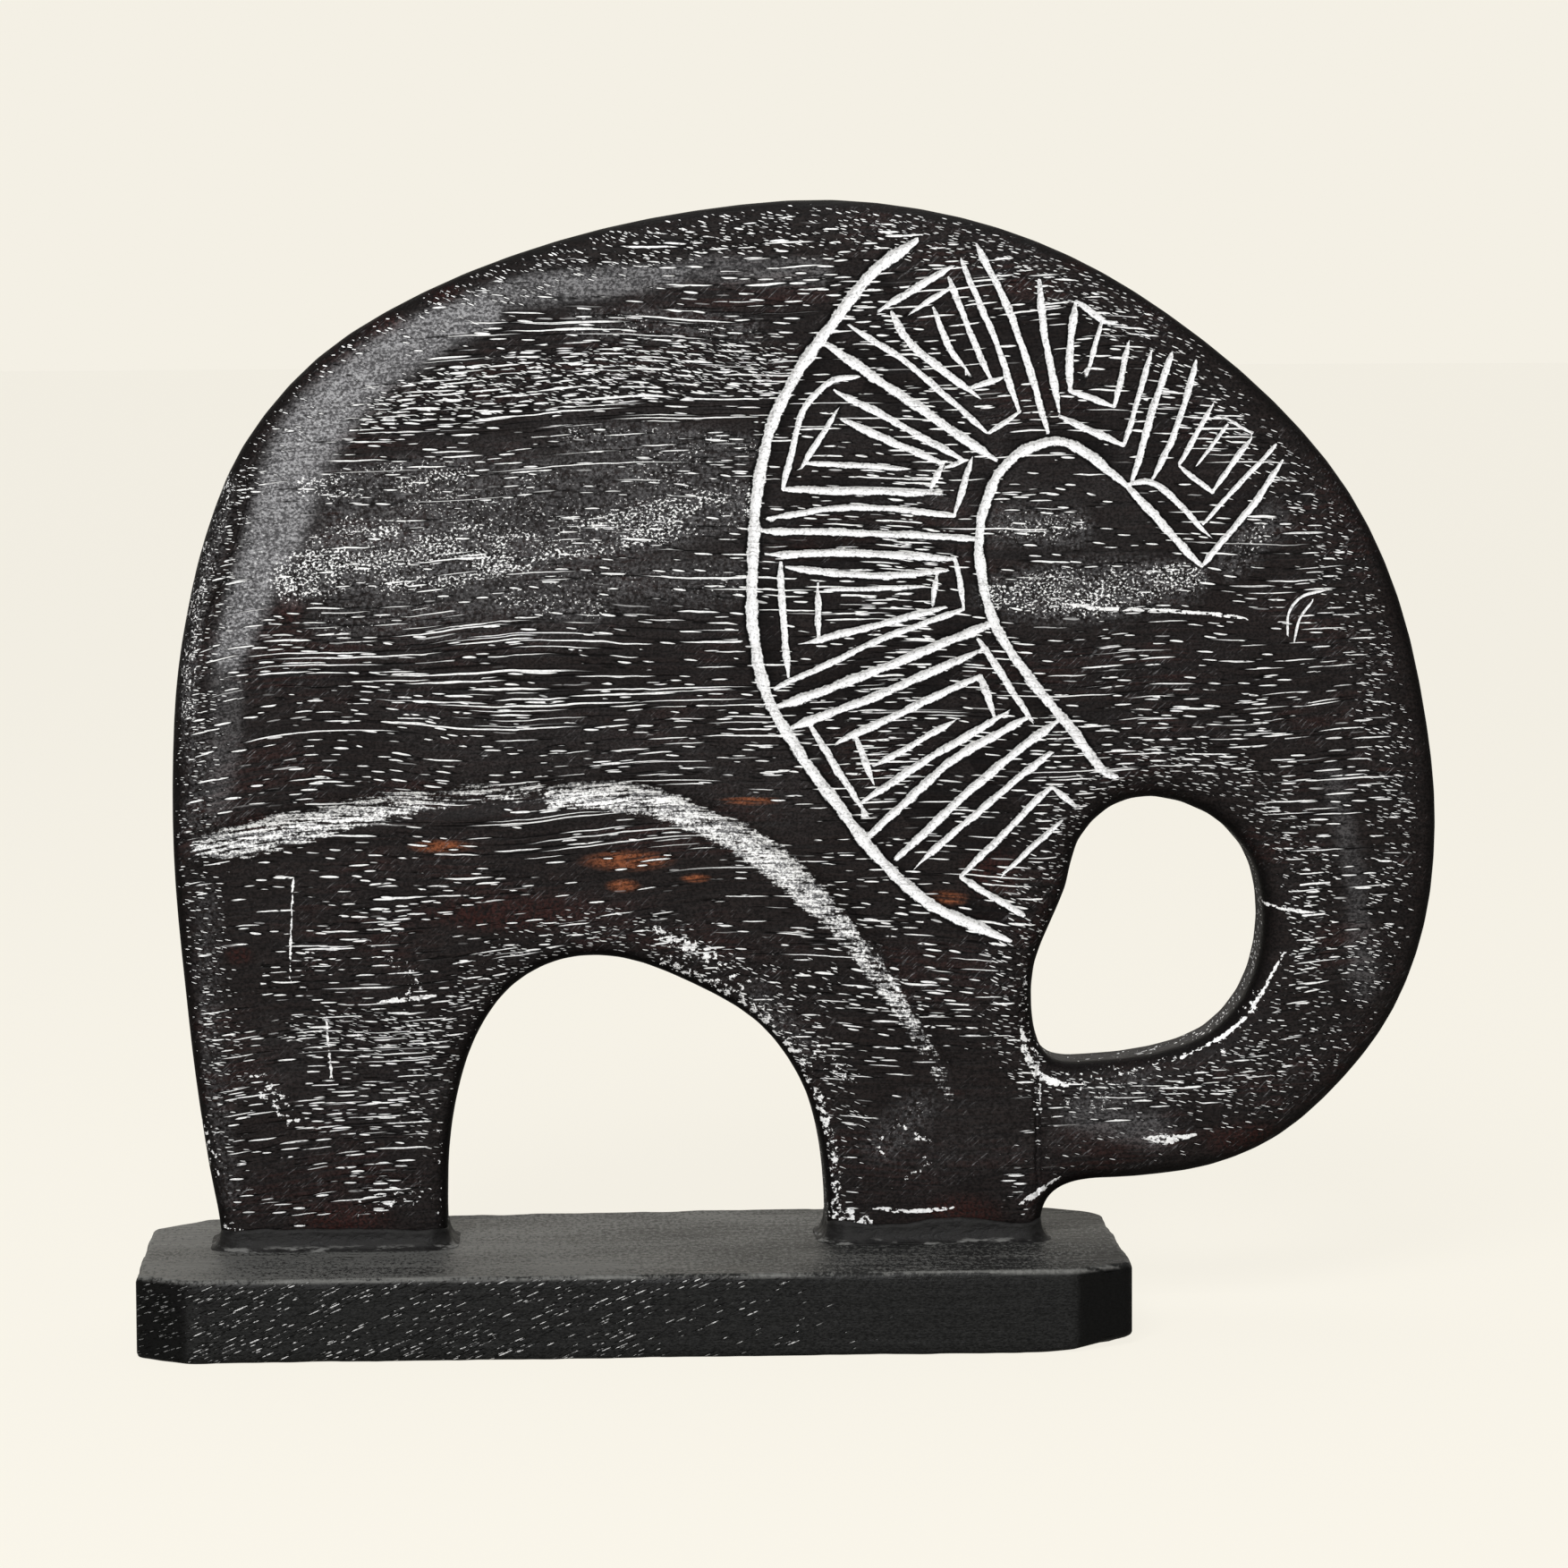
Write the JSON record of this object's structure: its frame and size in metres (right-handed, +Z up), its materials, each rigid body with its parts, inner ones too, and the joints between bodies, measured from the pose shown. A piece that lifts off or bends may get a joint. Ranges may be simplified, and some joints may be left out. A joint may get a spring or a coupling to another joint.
{
  "type": "carved wooden elephant",
  "caption": "Flat board-carved wooden elephant standing on a plinth, with gouged ears, a curled trunk and an open arch between the legs.",
  "frame": {"origin": "centre of the bounding box at the plinth's underside", "axes": "+X towards the head and trunk, +Y from the viewed face towards the back face, +Z up"},
  "size_m": [0.285, 0.0896, 0.2468],
  "materials": {
    "carved_wood": "charcoal stain over open grain, white wax left in the pores and gouge cuts",
    "plinth_wood": "dark grey paint, smooth top, open pores on the sawn front",
    "putty": "painted-over putty, matt",
    "screw_steel": "zinc plated, satin"
  },
  "bodies": {
    "root": {"elephant_body": "carved_wood", "plinth": "plinth_wood", "hind_foot_fillet": "putty", "front_foot_fillet": "putty", "screw_hind_outer": "screw_steel", "screw_hind_inner": "screw_steel", "screw_front_inner": "screw_steel", "screw_front_outer": "screw_steel"}
  },
  "joints": []
}
